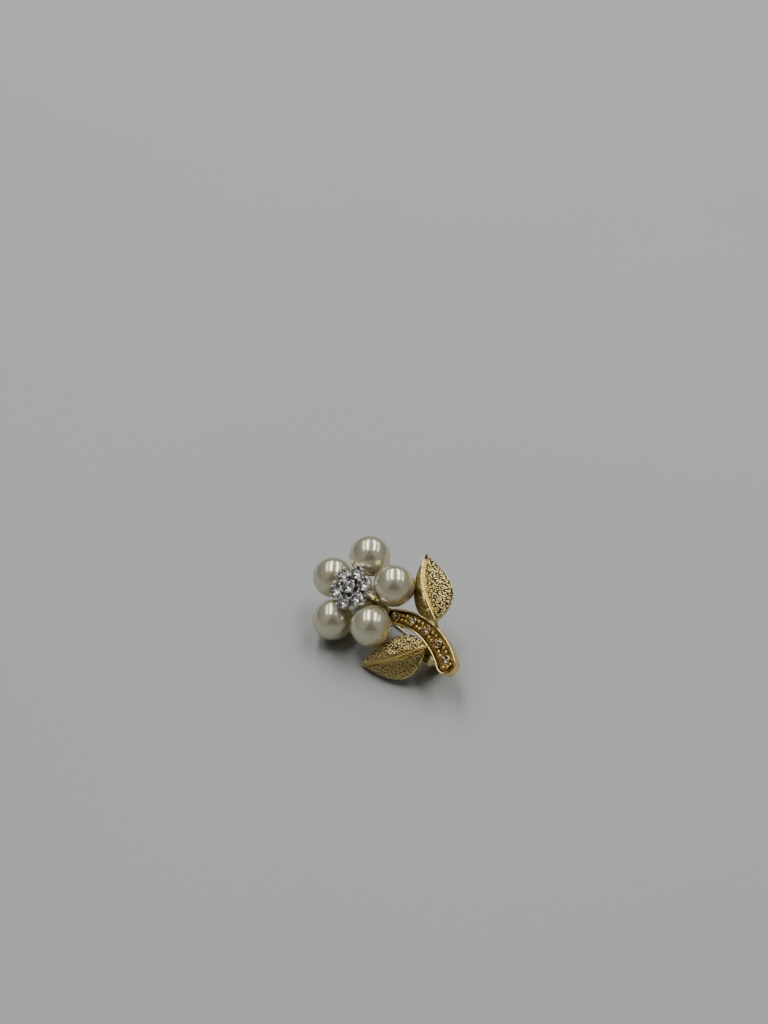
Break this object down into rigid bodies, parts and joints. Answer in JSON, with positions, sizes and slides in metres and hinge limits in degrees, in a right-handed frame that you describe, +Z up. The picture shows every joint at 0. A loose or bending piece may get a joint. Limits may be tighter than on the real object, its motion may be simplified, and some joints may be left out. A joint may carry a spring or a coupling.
{
  "type": "brooch",
  "caption": "Flower brooch: bead pearls round a white stone cluster, a curved stone-set stem with two textured leaves, and a hinged pin with a turning safety catch.",
  "frame": {"origin": "middle of the bottom of the bounding box, on the table that the brooch lies on", "axes": "+Z up from the table; the brooch lies as it rests by itself, on its hinge, its catch and the flower's base, with its face leaning towards -X and -Y; the leaves and the stem are on the +X side"},
  "size_m": [0.0282, 0.028, 0.0182],
  "materials": {
    "pearl": "nacre-coated glass bead, high gloss",
    "polished_gold": "gold plate, polished",
    "textured_gold": "gold plate, granular cast texture",
    "white_metal": "rhodium plate, bright",
    "clear_stone": "cut and foiled glass stone",
    "pin_metal": "gold plate on brass findings",
    "pin_steel": "drawn steel wire, polished"
  },
  "bodies": {
    "root": {"pearl_1": "pearl", "pearl_cup_1": "polished_gold", "pearl_2": "pearl", "pearl_cup_2": "polished_gold", "pearl_3": "pearl", "pearl_cup_3": "polished_gold", "pearl_4": "pearl", "pearl_cup_4": "polished_gold", "pearl_5": "pearl", "pearl_cup_5": "polished_gold", "flower_base": "polished_gold", "cluster_setting": "white_metal", "cluster_post": "polished_gold", "cluster_stone_centre": "clear_stone", "cluster_stone_1": "clear_stone", "cluster_stone_2": "clear_stone", "cluster_stone_3": "clear_stone", "cluster_stone_4": "clear_stone", "cluster_stone_5": "clear_stone", "cluster_stone_6": "clear_stone", "stem": "polished_gold", "stem_stone_1": "clear_stone", "stem_stone_2": "clear_stone", "stem_stone_3": "clear_stone", "stem_stone_4": "clear_stone", "stem_stone_5": "clear_stone", "leaf_upper": "textured_gold", "leaf_lower": "textured_gold", "hinge_base": "pin_metal", "hinge_rivet": "pin_metal", "catch_housing": "pin_metal"},
    "pin": {"pin_stem": "pin_steel"},
    "lock": {"catch_lock": "pin_metal"}
  },
  "joints": [
    {"name": "pin_hinge", "type": "hinge", "parent": "root", "child": "pin", "pos_m": [0.01033, -0.00532, 0.00237], "axis": [-0.5477, -0.5172, -0.6577], "range_deg": [0, 80]},
    {"name": "lock_turn", "type": "hinge", "parent": "root", "child": "lock", "pos_m": [-0.0038, 0.01021, 0.00192], "axis": [0.6728, -0.7395, 0.0212], "range_deg": [0, 100]}
  ]
}
